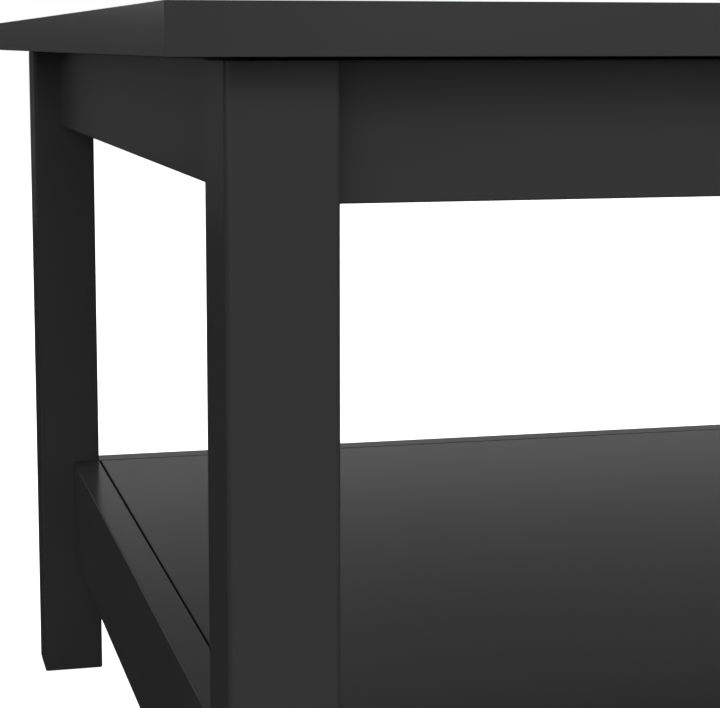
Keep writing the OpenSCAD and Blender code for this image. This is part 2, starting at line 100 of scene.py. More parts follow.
# studio: softboxes round the front, three high behind, low strips at the back and white paper all round
studio = {
    "ambient": 0.017,        # light of the air itself
    "paper": (0.9, 0.9, 0.9),
    "paperGlow": 0.98,       # the backdrop's own light, so that it stays white between the softboxes
    "radius": 40.0,
    "discSides": 64,
    "domeRings": 12,
    "cardDrop": 0.002,       # the bounce card lies this far under the paper
    "target": (0, 0, 0.3),
    "mirrored": 0.4,         # the shares of a ring box's light that the gloss does and doesn't show
    "unmirrored": 1.0,
    "ringRadius": 5.6,
    "ringBox": (2.8, 1.35),
    "ringHeights": (10, 24, 40),
    # degrees to the right of the front, and the brightness of the low, middle and high box
    "ring": {-80: (0.3, 0.2, 0), -50: (2.2, 1.8, 0), -20: (4, 4.5, 1.7), 20: (1.6, 4.2, 1.8),
             50: (2.2, 1.5, 0.4), 80: (0.3, 0, 0)},
    "backBox": (2.8, 1.8),
    "backHeight": 52,
    "back": {130: 4, 180: 4, 230: 4},
    # the shelf and the side faces mirror these: name, distance behind, height, width, depth, brightness
    "strips": [
        ("stripNearLow", 2.8, 0.295, 6, 0.39, 0.034),
        ("stripNear", 2.8, 0.685, 6, 0.13, 0.79),
        ("stripNearHigh", 2.8, 0.815, 6, 0.13, 0.2),
        ("stripFarLow", 6, 0.14, 12, 0.26, 0.015),
        ("stripFar", 6, 0.7, 12, 0.22, 0.31),
        ("stripHigh", 5.5, 2.8, 8, 1.5, 0.12),
    ],
}


def makeSoftbox(name, place, target, size, brightness, mirrored=True):
    if not brightness:
        return
    data = bpy.data.lights.new(name, "AREA")
    data.shape = "RECTANGLE"
    data.size, data.size_y = size
    data.energy = brightness * math.pi * size[0] * size[1]
    lamp = bpy.data.objects.new(name, data)
    scene.collection.objects.link(lamp)
    lamp.location = place
    aim(lamp, target)
    lamp.visible_camera = False
    lamp.visible_glossy = mirrored


def makeSoftPair(name, place, size, brightness):
    # most of the box's light isn't mirrored, so that the satin lid doesn't glare at a low angle
    makeSoftbox(name, place, studio["target"], size, brightness * studio["mirrored"])
    makeSoftbox(name + "_fill", place, studio["target"], size, brightness * studio["unmirrored"], False)


def ringPlace(azimuth, height):
    a, e = math.radians(azimuth), math.radians(height)
    out = Vector((math.sin(a) * math.cos(e), -math.cos(a) * math.cos(e), math.sin(e)))
    return Vector(studio["target"]) + out * studio["ringRadius"]


def spoke(i, sides, radius):
    turn = 2 * math.pi * i / sides
    return radius * math.cos(turn), radius * math.sin(turn)


def band(a, b, sides):
    # the faces between two rings of points
    return [(a + i, a + (i + 1) % sides, b + (i + 1) % sides, b + i) for i in range(sides)]


def makeDisc(name, z, rise, glow):
    # a round sheet; with some rise it closes into a dome, so that there is no horizon
    sides, radius = studio["discSides"], studio["radius"]
    levels = studio["domeRings"] if rise else 1
    turns = [math.pi / 2 * k / studio["domeRings"] for k in range(levels)]
    verts = [(0, 0, z)] + [(*spoke(i, sides, radius * math.cos(t)), radius * math.sin(t) + z)
                           for t in turns for i in range(sides)]
    faces = [(0, 1 + i, 1 + (i + 1) % sides) for i in range(sides)]
    for k in range(levels - 1):
        faces += [face[::-1] for face in band(1 + k * sides, 1 + (k + 1) * sides, sides)]
    if rise:
        top = len(verts)
        verts.append((0, 0, radius))
        faces += [(top, top - sides + i, top - sides + (i - 1) % sides) for i in range(sides)]
    mesh = bpy.data.meshes.new(name)
    mesh.from_pydata(verts, [], faces)
    disc = bpy.data.objects.new(name, mesh)
    scene.collection.objects.link(disc)
    mat, shader = newFinish(name + "White", 0.9, 0.0, 0.1)
    shader.inputs["Base Color"].default_value = (*studio["paper"], 1)
    shader.inputs["Emission Color"].default_value = (1, 1, 1, 1)
    shader.inputs["Emission Strength"].default_value = glow
    mesh.materials.append(mat)
    disc.visible_glossy = False      # satin black would mirror the paper as a milky veil
    return disc


def makePaper():
    # the paper is only seen; the card under it gives back the light that falls on the floor
    paper = makeDisc("paperRoll", 0, True, studio["paperGlow"])
    paper.visible_diffuse = paper.visible_shadow = False
    card = makeDisc("bounceCard", -studio["cardDrop"], False, 0.0)
    card.visible_camera = False


def makeStudio():
    scene.view_settings.view_transform = "Standard"
    world = bpy.data.worlds.new("studioAir")
    world.use_nodes = True
    air = world.node_tree.nodes.get("Background") or world.node_tree.nodes.new("ShaderNodeBackground")
    air.inputs["Color"].default_value = (1, 1, 1, 1)
    air.inputs["Strength"].default_value = studio["ambient"]
    scene.world = world
    for azimuth, levels in studio["ring"].items():
        for height, brightness in zip(studio["ringHeights"], levels):
            place = ringPlace(azimuth, height)
            makeSoftPair(f"ring{azimuth}_{height}", place, studio["ringBox"], brightness)
    for azimuth, brightness in studio["back"].items():
        place = ringPlace(azimuth, studio["backHeight"])
        makeSoftPair(f"back{azimuth}", place, studio["backBox"], brightness)
    for name, behind, height, width, depth, brightness in studio["strips"]:
        target = studio["target"] if height > 2 else (0, 0, height)      # the low strips face straight ahead
        makeSoftbox(name, (0, behind, height), target, (width, depth), brightness)
    makePaper()


makeCamera()
makeStudio()
print("camera and studio ready")


def wire(mat, fromSocket, toSocket):
    mat.node_tree.links.new(fromSocket, toSocket)


def places(mat, stretch=(1, 1, 1)):
    # the piece's own coordinates, stretched where a grain or a brushing runs
    coords = mat.node_tree.nodes.new("ShaderNodeTexCoord")
    mapping = mat.node_tree.nodes.new("ShaderNodeMapping")
    mapping.inputs["Scale"].default_value = stretch
    wire(mat, coords.outputs["Object"], mapping.inputs["Vector"])
    return mapping.outputs["Vector"]


def noise(mat, at, scale, detail=2.0, rough=0.5):
    node = mat.node_tree.nodes.new("ShaderNodeTexNoise")
    for key, value in (("Scale", scale), ("Detail", detail), ("Roughness", rough)):
        node.inputs[key].default_value = value
    wire(mat, at, node.inputs["Vector"])
    return node.outputs["Fac"]


def spread(mat, fac, low, high, fromLow=0.3, fromHigh=0.7):
    node = mat.node_tree.nodes.new("ShaderNodeMapRange")
    for key, value in (("From Min", fromLow), ("From Max", fromHigh), ("To Min", low), ("To Max", high)):
        node.inputs[key].default_value = value
    wire(mat, fac, node.inputs["Value"])
    return node.outputs["Result"]


def tones(mat, fac, stops):
    ramp = mat.node_tree.nodes.new("ShaderNodeValToRGB")
    while len(ramp.color_ramp.elements) < len(stops):
        ramp.color_ramp.elements.new(0.5)
    for element, (place, tone) in zip(ramp.color_ramp.elements, stops):
        element.position = place
        element.color = (*tone, 1)
    wire(mat, fac, ramp.inputs["Fac"])
    return ramp.outputs["Color"]


def relief(mat, height, strength, distance, under=None):
    bump = mat.node_tree.nodes.new("ShaderNodeBump")
    bump.inputs["Strength"].default_value = strength
    bump.inputs["Distance"].default_value = distance
    wire(mat, height, bump.inputs["Height"])
    if under is not None:
        wire(mat, under, bump.inputs["Normal"])
    return bump.outputs["Normal"]


def paint(mat, shader, fac, stops):
    wire(mat, tones(mat, fac, stops), shader.inputs["Base Color"])


def polish(mat, shader, fac, low, high):
    wire(mat, spread(mat, fac, low, high), shader.inputs["Roughness"])


def emboss(mat, shader, height, strength, distance, under=None):
    wire(mat, relief(mat, height, strength, distance, under), shader.inputs["Normal"])


# each finish: its tones over a noise, and how rough it is from its smoothest to its roughest
lacquer = {
    "tones": ((0.3, (0.0262, 0.0262, 0.0272)), (0.7, (0.0288, 0.0288, 0.0298))),
    "roughness": (0.22, 0.234),
    "edgingRoughness": (0.2, 0.27),
    "specular": 0.3,
}


def makeLacquer(name, grain):
    # satin black sprayed on board: faint clouds, fine orange peel and a trace of the board's grain
    mat, shader = newFinish(name, specular=lacquer["specular"])
    at = places(mat)
    paint(mat, shader, noise(mat, at, 7.0, 3.0), lacquer["tones"])
    polish(mat, shader, noise(mat, at, 90.0, 3.0), *lacquer["roughness"])
    peel = relief(mat, noise(mat, at, 620.0, 2.0), 0.12, 0.03 * mm)
    streaks = noise(mat, places(mat, grain), 40.0, 3.0, 0.6)
    emboss(mat, shader, streaks, 0.05, 0.02 * mm, peel)
    return mat


def makeEdging():
    # plastic edge banding: the same black, with fine drawn lines along it
    mat, shader = newFinish("edging", specular=lacquer["specular"])
    paint(mat, shader, noise(mat, places(mat), 16.0, 2.0), lacquer["tones"])
    lines = noise(mat, places(mat, (4, 4, 300)), 6.0, 3.0)
    polish(mat, shader, lines, *lacquer["edgingRoughness"])
    emboss(mat, shader, lines, 0.12, 0.02 * mm)
    return mat


pressed = {"tones": ((0.3, (0.024, 0.024, 0.025)), (0.7, (0.034, 0.034, 0.035))), "roughness": (0.42, 0.55)}


def makePanel():
    # thin faced fibreboard with a pressed texture
    mat, shader = newFinish("pressedPanel", specular=0.25)
    at = places(mat)
    paint(mat, shader, noise(mat, at, 40.0, 4.0), pressed["tones"])
    press = noise(mat, at, 380.0, 3.0, 0.6)
    polish(mat, shader, press, *pressed["roughness"])
    emboss(mat, shader, press, 0.5, 0.12 * mm)
    return mat


softwood = {
    "tones": ((0.05, (0.36, 0.23, 0.12)), (0.3, (0.5, 0.35, 0.2)), (0.55, (0.6, 0.45, 0.28))),
    "roughness": (0.5, 0.68),
    "wave": (("Scale", 14.0), ("Distortion", 5.0), ("Detail", 2.0)),
}


def makePaleWood(name, stretch):
    # planed softwood: growth lines along the piece and fine pores
    mat, shader = newFinish(name, specular=0.3)
    at = places(mat, stretch)
    lines = mat.node_tree.nodes.new("ShaderNodeTexWave")
    lines.bands_direction = "DIAGONAL"
    for key, value in softwood["wave"]:
        lines.inputs[key].default_value = value
    wire(mat, at, lines.inputs["Vector"])
    blend = mat.node_tree.nodes.new("ShaderNodeMath")
    blend.operation = "MULTIPLY"
    wire(mat, noise(mat, at, 3.0, 2.0), blend.inputs[0])
    wire(mat, lines.outputs["Fac"], blend.inputs[1])
    paint(mat, shader, blend.outputs[0], softwood["tones"])
    pores = noise(mat, at, 120.0, 4.0, 0.65)
    polish(mat, shader, pores, *softwood["roughness"])
    emboss(mat, shader, pores, 0.4, 0.1 * mm)
    return mat


feltTones = ((0.3, (0.03, 0.028, 0.026)), (0.7, (0.085, 0.08, 0.075)))


def makeFelt():
    mat, shader = newFinish("darkFelt", roughness=0.95, specular=0.1)
    shader.inputs["Sheen Weight"].default_value = 0.5
    shader.inputs["Sheen Roughness"].default_value = 0.6
    hairs = noise(mat, places(mat), 900.0, 5.0, 0.7)
    paint(mat, shader, hairs, feltTones)
    emboss(mat, shader, hairs, 0.9, 0.3 * mm)
    return mat


rubber = {"tones": ((0.3, (0.02, 0.02, 0.02)), (0.7, (0.035, 0.035, 0.035))), "roughness": (0.55, 0.7)}


def makeRubber():
    mat, shader = newFinish("bumperRubber", specular=0.3)
    skin = noise(mat, places(mat), 500.0, 2.0)
    paint(mat, shader, skin, rubber["tones"])
    polish(mat, shader, skin, *rubber["roughness"])
    emboss(mat, shader, skin, 0.3, 0.05 * mm)
    return mat


nylon = {"tones": ((0.3, (0.66, 0.65, 0.61)), (0.7, (0.74, 0.73, 0.7))), "roughness": (0.38, 0.5)}


def makeNylon():
    mat, shader = newFinish("milkyNylon", specular=0.4)
    cloud = noise(mat, places(mat), 160.0, 2.0)
    paint(mat, shader, cloud, nylon["tones"])
    polish(mat, shader, cloud, *nylon["roughness"])
    emboss(mat, shader, cloud, 0.2, 0.04 * mm)
    return mat


powder = {"tones": ((0.35, (0.035, 0.035, 0.037)), (0.7, (0.055, 0.055, 0.058))), "roughness": (0.38, 0.5)}


def makePowderCoat():
    # black powder coat on steel: a tight pebble and slightly paler patches
    mat, shader = newFinish("blackPowderCoat", specular=0.45)
    at = places(mat)
    patches = noise(mat, at, 30.0, 4.0, 0.6)
    paint(mat, shader, patches, powder["tones"])
    polish(mat, shader, patches, *powder["roughness"])
    emboss(mat, shader, noise(mat, at, 1100.0, 2.0), 0.5, 0.06 * mm)
    return mat


zincPlate = {
    "tones": ((0.3, (0.5, 0.5, 0.52)), (0.55, (0.6, 0.6, 0.6)), (0.75, (0.62, 0.6, 0.54))),
    "roughness": (0.24, 0.42),
}


def makeZinc():
    # zinc plate: cool grey with a faint yellow cast in clouds and small scratches
    mat, shader = newFinish("zincPlate", metallic=1.0)
    clouds = noise(mat, places(mat), 90.0, 3.0, 0.6)
    paint(mat, shader, clouds, zincPlate["tones"])
    scratches = noise(mat, places(mat, (900, 60, 60)), 3.0, 3.0, 0.6)
    polish(mat, shader, scratches, *zincPlate["roughness"])
    emboss(mat, shader, scratches, 0.15, 0.03 * mm)
    return mat


oiledWire = {"tones": ((0.3, (0.07, 0.075, 0.085)), (0.7, (0.16, 0.16, 0.165))), "roughness": (0.28, 0.45)}


def makeSpringWire():
    # oil-tempered wire: dark blue grey with an oily film
    mat, shader = newFinish("springWire", metallic=0.9)
    shader.inputs["Coat Weight"].default_value = 0.25
    shader.inputs["Coat Roughness"].default_value = 0.2
    at = places(mat)
    film = noise(mat, at, 140.0, 3.0, 0.6)
    paint(mat, shader, film, oiledWire["tones"])
    polish(mat, shader, film, *oiledWire["roughness"])
    emboss(mat, shader, noise(mat, at, 900.0, 2.0), 0.2, 0.03 * mm)
    return mat


finishes = {
    "lacquerX": makeLacquer("lacquerAlongX", (0.6, 12, 12)),
    "lacquerY": makeLacquer("lacquerAlongY", (12, 0.6, 12)),
    "lacquerZ": makeLacquer("lacquerAlongZ", (12, 12, 0.6)),
    "edging": makeEdging(),
    "panel": makePanel(),
    "woodX": makePaleWood("paleWoodAlongX", (1, 14, 14)),
    "woodY": makePaleWood("paleWoodAlongY", (14, 1, 14)),
    "felt": makeFelt(),
    "rubber": makeRubber(),
    "nylon": makeNylon(),
    "powderCoat": makePowderCoat(),
    "zinc": makeZinc(),
    "springWire": makeSpringWire(),
}
print("finishes ready:", len(finishes))


flipX = Matrix.Diagonal((-1, 1, 1, 1))


def wholeFaces(mesh):
    # joins the flat triangles of a cap, so that the shading sees one face
    bm = bmesh.new()
    bm.from_mesh(mesh)
    bmesh.ops.dissolve_limit(bm, angle_limit=math.radians(0.3), verts=bm.verts, edges=bm.edges)
    bm.to_mesh(mesh)
    bm.free()


def addPiece(name, mesh, finish, body, *nodes):
    # one finished piece in place of its CAD nodes; without a body it is left unattached
    wholeFaces(mesh)
    mesh.name = name
    mesh.materials.clear()
    mesh.materials.append(finishes[finish])
    mesh.polygons.foreach_set("use_smooth", [True] * len(mesh.polygons))
    piece = bpy.data.objects.new(name, mesh)
    scene.collection.objects.link(piece)
    if body:
        piece.modifiers.new("flatFaces", "WEIGHTED_NORMAL").weight = 100
        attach(piece, body)
    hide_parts(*nodes)
    return piece


def solids(node):
    # the lowest and highest corner of each separate solid in a CAD node
    bm = bmesh.new()
    bm.from_mesh(frame["nodes"][node].data)
    bmesh.ops.remove_doubles(bm, verts=bm.verts, dist=1e-6)
    unseen, found = set(bm.verts), []
    while unseen:
        waiting, corners = [unseen.pop()], []
        while waiting:
            v = waiting.pop()
            corners.append(v.co.copy())
            for edge in v.link_edges:
                other = edge.other_vert(v)
                if other in unseen:
                    unseen.remove(other)
                    waiting.append(other)
        found.append([Vector(pick(c[i] for c in corners) for i in range(3)) for pick in (min, max)])
    bm.free()
    return sorted(found, key=lambda box: [round(c, 4) for corner in box for c in corner])


def closedMesh(name, verts, faces):
    mesh = bpy.data.meshes.new(name)
    mesh.from_pydata([tuple(v) for v in verts], [], faces)
    bm = bmesh.new()
    bm.from_mesh(mesh)
    bmesh.ops.remove_doubles(bm, verts=bm.verts, dist=1e-7)
    bmesh.ops.recalc_face_normals(bm, faces=bm.faces)
    bm.to_mesh(mesh)
    bm.free()
    return mesh


def moved(mesh, matrix):
    out = mesh.copy()
    out.transform(matrix)
    if matrix.determinant() < 0:
        out.flip_normals()
    return out


def together(meshes):
    bm = bmesh.new()
    for mesh in meshes:
        bm.from_mesh(mesh)
    out = bpy.data.meshes.new("together")
    bm.to_mesh(out)
    bm.free()
    return out


def cutAway(mesh, tool):
    objects = [bpy.data.objects.new(n, m) for n, m in (("cutFrom", mesh), ("cutWith", tool))]
    for obj in objects:
        scene.collection.objects.link(obj)
    cut = objects[0].modifiers.new("cut", "BOOLEAN")
    cut.object, cut.operation, cut.solver = objects[1], "DIFFERENCE", "EXACT"
    bpy.context.view_layer.update()
    out = bpy.data.meshes.new_from_object(objects[0].evaluated_get(bpy.context.evaluated_depsgraph_get()))
    for obj in objects:
        bpy.data.objects.remove(obj)
    return out


def circle(centre, radius, steps=40):
    return [(centre[0] + x, centre[1] + y) for x, y in (spoke(i, steps, radius) for i in range(steps))]


def capsule(a, b, radius, steps=20):
    # the outline of a bar with round ends, between two points on a level line
    turns = [math.radians(-90 + 180 * i / steps) for i in range(steps + 1)]
    return ([(b[0] + radius * math.cos(t), b[1] + radius * math.sin(t)) for t in turns]
            + [(a[0] - radius * math.cos(t), a[1] - radius * math.sin(t)) for t in turns])


def outline(corners, steps=6):
    # each corner is (x, y, radius), sharp where the radius is nothing
    points = []
    for i, (x, y, radius) in enumerate(corners):
        corner = Vector((x, y))
        back = (Vector(corners[i - 1][:2]) - corner).normalized()
        ahead = (Vector(corners[(i + 1) % len(corners)][:2]) - corner).normalized()
        if radius <= 0:
            points.append((x, y))
            continue
        half = back.angle(ahead) / 2
        centre = corner + (back + ahead).normalized() * radius / math.sin(half)
        spokes = [corner + side * radius / math.tan(half) - centre for side in (back, ahead)]
        start, end = (math.atan2(spoke.y, spoke.x) for spoke in spokes)
        sweep = (end - start + math.pi) % (2 * math.pi) - math.pi
        turns = [start + sweep * k / steps for k in range(steps + 1)]
        points += [(centre.x + radius * math.cos(t), centre.y + radius * math.sin(t)) for t in turns]
    return points


def rectangle(low, high, radius):
    return outline([(low[0], low[1], radius), (high[0], low[1], radius), (high[0], high[1], radius),
                    (low[0], high[1], radius)])


def shrunk(loop, by):
    out = []
    for i, point in enumerate(loop):
        a, p, b = Vector(loop[i - 1]), Vector(point), Vector(loop[(i + 1) % len(loop)])
        n = [Vector((-d.y, d.x)).normalized() for d in (p - a, b - p)]
        out.append(tuple(p + (n[0] + n[1]) * by / (1 + n[0].dot(n[1]))))
    return out


def wound(loop, inside):
    area = sum(a[0] * b[1] - b[0] * a[1] for a, b in zip(loop, loop[1:] + loop[:1]))
    return loop if (area > 0) != inside else loop[::-1]


def prism(loops, low, high, ease, steps=3):
    # an outline and its holes pushed along Z, with both ends eased by a small round
    loops = [wound(loop, i > 0) for i, loop in enumerate(loops)]
    turns = [math.pi / 2 * k / steps for k in range(steps + 1)]
    levels = [(ease * (1 - math.sin(t)), low + ease * (1 - math.cos(t))) for t in turns]
    levels += [(inset, low + high - z) for inset, z in reversed(levels)]
    verts, faces = [], []
    for inset, z in levels:
        verts += [(x, y, z) for loop in loops for x, y in shrunk(loop, inset)]
    total = sum(map(len, loops))
    for k in range(len(levels) - 1):
        start = k * total
        for loop in loops:
            faces += band(start, start + total, len(loop))
            start += len(loop)
    cap = tessellate_polygon([[Vector((*p, 0)) for p in shrunk(loop, ease)] for loop in loops])
    last = total * (len(levels) - 1)
    faces += [tuple(t) for t in cap] + [tuple(last + i for i in t) for t in cap]
    return closedMesh("prism", verts, faces)


def turned(profile, sides=40, hollow=False):
    # a turned piece along X from (x, radius) pairs; a hollow one's profile closes on itself
    verts, rings, faces = [], [], []
    for x, radius in profile:
        count = sides if radius > 1e-9 else 1
        rings.append([len(verts) + i % count for i in range(sides)])
        verts += [(x, *spoke(i, sides, radius)) for i in range(count)]
    pairs = list(zip(rings, rings[1:])) + ([(rings[-1], rings[0])] if hollow else [])
    for a, b in pairs:
        for i in range(sides):
            j = (i + 1) % sides
            face = list(dict.fromkeys((a[i], a[j], b[j], b[i])))
            if len(face) > 2:
                faces.append(tuple(face))
    if not hollow:
        faces += [tuple(ring) for ring in (rings[0], rings[-1]) if len(set(ring)) > 1]
    return closedMesh("turned", verts, faces)


def along(place, axis, sign):
    # takes a piece made along +X to a place, pointing along an axis
    ahead = Vector((0, 0, 0))
    ahead[axis] = sign
    return Matrix.Translation(place) @ ahead.to_track_quat("X", "Z").to_matrix().to_4x4()


def facingIn(node, pick=max):
    # one matrix for each solid of a node: it starts at the end nearer the table's middle and runs outwards
    spots = []
    for low, high in solids(node):
        size = high - low
        axis = list(size).index(pick(size))
        place = (low + high) / 2
        place[axis] = min(low[axis], high[axis], key=abs)
        spots.append(along(place, axis, 1 if place[axis] >= 0 else -1))
    return spots


# boards: outlines in the cross section, pushed along the board
woodwork = {
    "legEdge": 2.0 * mm,
    "legTip": 0.8 * mm,
    "boardEdge": 1.0 * mm,
    "boardTip": 0.25 * mm,
    "shelfEdge": 0.5 * mm,
    "cleatEdge": 1.2 * mm,
    "panelEdge": 0.3 * mm,
    "play": 0.15 * mm,        # round screws and cam nuts
    "sinkDepth": 2.2 * mm,
}


def alongAxis(axis):
    # local Z becomes the axis and local X and Y the two after it
    turn = Matrix.Identity(4)
    for i in range(3):
        for j in range(3):
            turn[i][j] = 1.0 if i == (axis + 1 + j) % 3 else 0.0
    return turn


def board(node, axisName, edge, tip):
    lo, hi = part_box(node)
    axis = "xyz".index(axisName)
    u, v = (axis + 1) % 3, (axis + 2) % 3
    section = rectangle((lo[u], lo[v]), (hi[u], hi[v]), edge)
    return moved(prism([section], lo[axis], hi[axis], tip), alongAxis(axis))


def near(box, low, high):
    return all(low[i] - mm < (box[0][i] + box[1][i]) / 2 < high[i] + mm for i in range(3))


def seated(mesh, node, around, pick=max):
    # cuts seats for those solids of a node whose middle lies in a board
    w = woodwork
    lo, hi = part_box(around)
    chosen = [(b, m) for b, m in zip(solids(node), facingIn(node, pick)) if near(b, lo, hi)]
    if not chosen:
        return mesh
    size = chosen[0][0][1] - chosen[0][0][0]
    cross = sorted(size)[1] / 2 + w["play"]
    depth = w["sinkDepth"] if pick is max else min(size) + w["play"]
    peg = turned([(-1 * mm, cross), (depth, cross)], 32)
    return cutAway(mesh, together([moved(peg, m) for _, m in chosen]))


def apronSection(depth, height, edge, rabbet, step):
    # across an apron, from its outer face inwards and up; the step holds the compartment's floor
    return outline([(0, 0, edge), (depth - rabbet, 0, edge / 3), (depth - rabbet, step, 0),
                    (depth, step, edge / 3), (depth, height, edge), (0, height, edge)])


def makeWoodwork():
    w = woodwork
    for node in ("leg_front_left", "leg_front_right", "leg_rear_left", "leg_rear_right"):
        addPiece(node + "_post", board(node, "z", w["legEdge"], w["legTip"]), "lacquerZ", "frame", node)
    panelLow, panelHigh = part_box("compartment_floor")
    for side in ("front", "rear", "left", "right"):
        axis = "X" if side in ("front", "rear") else "Y"
        a = "XY".index(axis)
        lo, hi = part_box("apron_" + side)
        # the section is drawn for the front or the left and turned over for the other side
        depth, out = hi[1 - a] - lo[1 - a], 1 if side in ("front", "left") else -1
        rabbet = panelHigh[1 - a] - min(abs(lo[1 - a]), abs(hi[1 - a])) + w["play"]
        section = apronSection(depth, hi.z - lo.z, w["boardEdge"], rabbet, panelHigh.z - panelLow.z)
        apron = prism([section], lo[a], hi[a], w["boardTip"])
        turn = Matrix(((0, 0, 1, 0), (out, 0, 0, 0), (0, 1, 0, lo.z), (0, 0, 0, 1)) if a == 0
                      else ((out, 0, 0, 0), (0, 0, 1, 0), (0, 1, 0, lo.z), (0, 0, 0, 1)))
        turn[1 - a][3] = lo[1 - a] if out > 0 else hi[1 - a]
        apron = seated(moved(apron, turn), "cam_nuts", "apron_" + side, min)
        addPiece("apron_" + side + "_board", apron, "lacquer" + axis, "frame", "apron_" + side)
        rail = board("rail_" + side, axis.lower(), w["boardEdge"], w["boardTip"])
        rail = seated(rail, "cam_nuts", "rail_" + side, min)
        addPiece("rail_" + side + "_board", rail, "lacquer" + axis, "frame", "rail_" + side)
        cleat = board("cleat_" + side, axis.lower(), w["cleatEdge"], w["boardEdge"] / 2)
        cleat = seated(seated(cleat, "cleat_screws", "cleat_" + side), "shelf_screws", "cleat_" + side)
        addPiece("cleat_" + side + "_strip", cleat, "wood" + axis, "frame", "cleat_" + side)
    shelf = board("shelf", "z", w["shelfEdge"], w["shelfEdge"])
    addPiece("shelf_board", shelf, "lacquerX", "frame", "shelf")


def makeCompartmentFloor():
    w = woodwork
    lo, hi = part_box("compartment_floor")
    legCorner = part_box("leg_front_left")[1]
    x, y = -legCorner.x - w["play"], -legCorner.y - w["play"]
    quarter = [(hi.x, y), (x, y), (x, hi.y)]
    corners = []
    for sx, sy, order in ((1, 1, 1), (-1, 1, -1), (-1, -1, 1), (1, -1, -1)):
        corners += [(sx * px, sy * py, 0) for px, py in quarter[::order]]
    panel = prism([outline(corners)], lo.z, hi.z, w["panelEdge"])
    panel = seated(panel, "floor_screws", "compartment_floor")
    addPiece("compartment_floor_panel", panel, "panel", "frame", "compartment_floor")


makeWoodwork()
makeCompartmentFloor()
print("woodwork ready")


# lid: a board with thin edging all round; the front and rear strips cover the ends of the side ones
lidLook = {"boardEdge": 0.2 * mm, "bandEdge": 0.3 * mm}


def makeLid():
    edge = lidLook["boardEdge"]
    addPiece("lid_top_board", board("lid_board", "z", edge, edge), "lacquerX", "lid", "lid_board")
    for side, axis in (("front", "x"), ("rear", "x"), ("left", "y"), ("right", "y")):
        strip = board("band_" + side, axis, lidLook["bandEdge"], lidLook["bandEdge"] / 2)
        addPiece("band_" + side + "_strip", strip, "edging", "lid", "band_" + side)


makeLid()
print("lid ready")


# fittings: countersunk screws, cam joints, dowels, felt pads and rubber bumpers
screws = {
    "shank": 1.7 * mm,
    "core": 1.25 * mm,
    "pitch": 1.5 * mm,
    "headDeep": 2.0 * mm,
    "headEase": 0.2 * mm,
    "neck": 0.6 * mm,
    "tip": 1.6 * mm,
    "sides": 24,
    "recess": (4.0 * mm, 0.85 * mm, 1.5 * mm),      # span, width and depth of the cross
}


def blade(span, wide, deep, turn):
    # a tapered cutter that leaves one arm of a cross recess in a face at x = 0
    verts = []
    for x, s, w in ((-0.5 * mm, span * 1.15, wide * 1.1), (deep, span * 0.45, wide * 0.6)):
        verts += [(x, a * s / 2, b * w / 2) for a, b in ((-1, -1), (1, -1), (1, 1), (-1, 1))]
    faces = [(0, 1, 2, 3), (4, 5, 6, 7), (0, 1, 5, 4), (1, 2, 6, 5), (2, 3, 7, 6), (3, 0, 4, 7)]
    return moved(closedMesh("blade", verts, faces), Matrix.Rotation(turn, 4, "X"))


def crossCut(mesh, span, wide, deep):
    for turn in (0.0, math.pi / 2):
        mesh = cutAway(mesh, blade(span, wide, deep, turn))
    return mesh


def threaded(start, end, outer, core, pitch):
    # ridges of a thread along a turned profile
    count = int((end - start) / pitch)
    return [p for k in range(count) for p in ((start + k * pitch, core), (start + (k + 0.5) * pitch, outer))]


def screwMesh(length, headRadius):
    f, ease = screws, screws["headEase"]
    profile = [(0, 0), (0, headRadius - ease), (0.6 * ease, headRadius - 0.15 * ease),
               (f["headDeep"], f["core"] + 1.5 * ease)]
    start, end = f["headDeep"] + f["neck"], length - f["tip"] - f["neck"]
    profile += threaded(start, end, f["shank"], f["core"], f["pitch"])
    profile += [(length - f["tip"], f["core"] * 0.8), (length - ease / 4, 0)]
    return crossCut(turned(profile, f["sides"]), *f["recess"])


def makeScrews():
    for node, body in (("floor_screws", "frame"), ("cleat_screws", "frame"), ("shelf_screws", "frame"),
                       ("bracket_screws", "frame"), ("lid_screws", "lid")):
        low, high = solids(node)[0]
        size = sorted(high - low)
        one = screwMesh(size[2], size[0] / 2)
        addPiece(node + "_crosshead", together([moved(one, m) for m in facingIn(node)]), "zinc", body, node)


camNut = {
    "play": 0.02 * mm,
    "rim": 0.5 * mm,
    "groove": 0.35 * mm,                              # a shallow ring round the slots
    "slots": (8.6 * mm, 1.6 * mm, 3.0 * mm),          # span, width and depth of the cross
}


def makeCamNuts():
    c = camNut
    low, high = solids("cam_nuts")[0]
    size = sorted(high - low)
    deep, radius, rim, groove = size[0], size[1] / 2 - c["play"], c["rim"], c["groove"]
    face = [(0, 0), (0, radius * 0.62), (groove, radius * 0.66), (groove, radius * 0.8), (0, radius * 0.84),
            (0, radius - rim), (rim, radius), (deep - rim, radius), (deep, radius - rim), (deep, 0)]
    cam = crossCut(turned(face, 40), *c["slots"])
    nuts = together([moved(cam, m) for m in facingIn("cam_nuts", min)])
    addPiece("cam_nuts_slotted", nuts, "zinc", "frame", "cam_nuts")


camBolt = {
    "headEnd": 2.2 * mm,
    "headEase": 0.8 * mm,
    "collarShare": 0.72,          # how far along the bolt its collar ends
    "collarLong": 1.4 * mm,
    "neckShare": 0.6,             # the neck's radius against the thread's
    "sides": 24,
}


